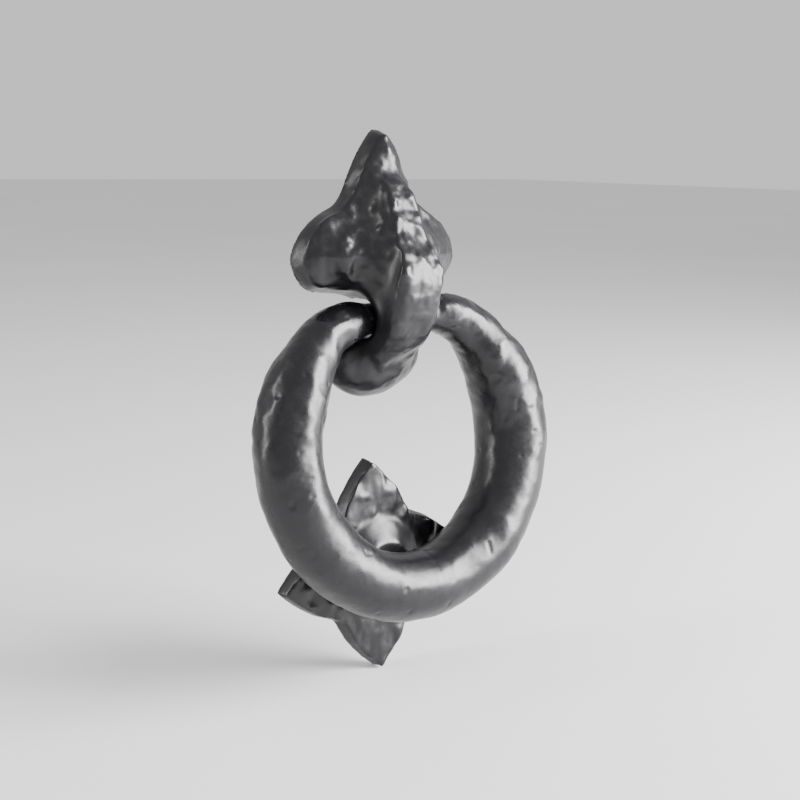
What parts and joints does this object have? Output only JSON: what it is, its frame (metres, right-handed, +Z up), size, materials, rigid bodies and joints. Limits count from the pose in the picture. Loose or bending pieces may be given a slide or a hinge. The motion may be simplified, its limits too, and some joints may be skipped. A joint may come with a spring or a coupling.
{
  "type": "ring door knocker",
  "caption": "Hammered cast ring knocker: lobed back plate with a hook, a free-swinging ring and a petalled strike plate, bolted through the door.",
  "frame": {"origin": "the upper stud's axis on the outer face of the door", "axes": "+X to the right as seen from outside, +Y into the door along the studs, +Z up"},
  "size_m": [0.1138, 0.0643, 0.1773],
  "materials": {
    "black_iron": "satin black powder coat over a hammered casting",
    "zinc_steel": "dull zinc plate"
  },
  "bodies": {
    "mounted": {"backplate_hook": "black_iron", "strike_plate": "black_iron", "upper_stud": "zinc_steel", "upper_washer": "zinc_steel", "upper_nut": "zinc_steel", "lower_stud": "zinc_steel", "lower_washer": "zinc_steel", "lower_nut": "zinc_steel"},
    "ring": {"knocker_ring": "black_iron"}
  },
  "joints": [
    {"name": "ring_swing", "type": "hinge", "parent": "mounted", "child": "ring", "pos_m": [0, -0.008, -0.0197], "axis": [-1, 0, 0], "range_deg": [0, 138]}
  ]
}
